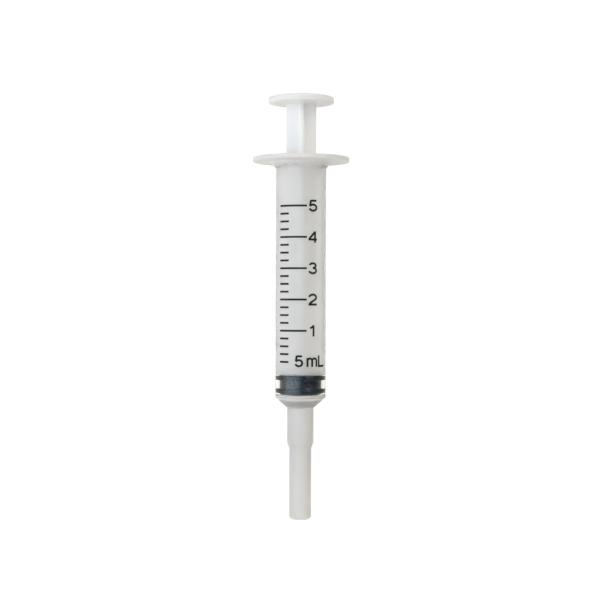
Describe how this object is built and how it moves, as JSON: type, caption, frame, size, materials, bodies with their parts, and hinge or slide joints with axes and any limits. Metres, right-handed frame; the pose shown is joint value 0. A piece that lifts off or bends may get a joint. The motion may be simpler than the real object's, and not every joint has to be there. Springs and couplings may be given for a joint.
{
  "type": "oral syringe",
  "caption": "Slim needle-free dosing syringe: clear tube with round finger flange, cross-stem plunger, dark rubber stopper and stepped cap over the nozzle.",
  "frame": {"origin": "centre of the closed lower end of the cap, on the syringe's axis", "axes": "+Z along the syringe's axis from the cap and nozzle up to the thumb disc; +X to the right of the printed scale as it is read, -Y out of the side that carries the scale"},
  "size_m": [0.0268, 0.0268, 0.117],
  "materials": {
    "barrel_plastic": "clear, slightly hazy natural polypropylene with a smooth moulded gloss and a black printed scale",
    "rod_plastic": "milky white translucent polypropylene, satin",
    "stopper_rubber": "blue-black moulded rubber, lightly siliconised, soft sheen",
    "cap_plastic": "milky translucent polyethylene, satin"
  },
  "bodies": {
    "barrel": {"barrel": "barrel_plastic"},
    "stopper": {"stopper": "stopper_rubber"},
    "plunger_rod": {"plunger_rod": "rod_plastic"},
    "tip_cap": {"tip_cap": "cap_plastic"}
  },
  "joints": [
    {"name": "plunger_slide", "type": "slide", "parent": "barrel", "child": "stopper", "axis": [0, 0, 1], "range_m": [0, 0.055]},
    {"name": "rod_twist", "type": "hinge", "parent": "stopper", "child": "plunger_rod", "pos_m": [0, 0, 0.0384], "axis": [0, 0, 1], "continuous": true},
    {"name": "cap_pull", "type": "slide", "parent": "barrel", "child": "tip_cap", "axis": [0, 0, -1], "range_m": [0, 0.03]}
  ]
}
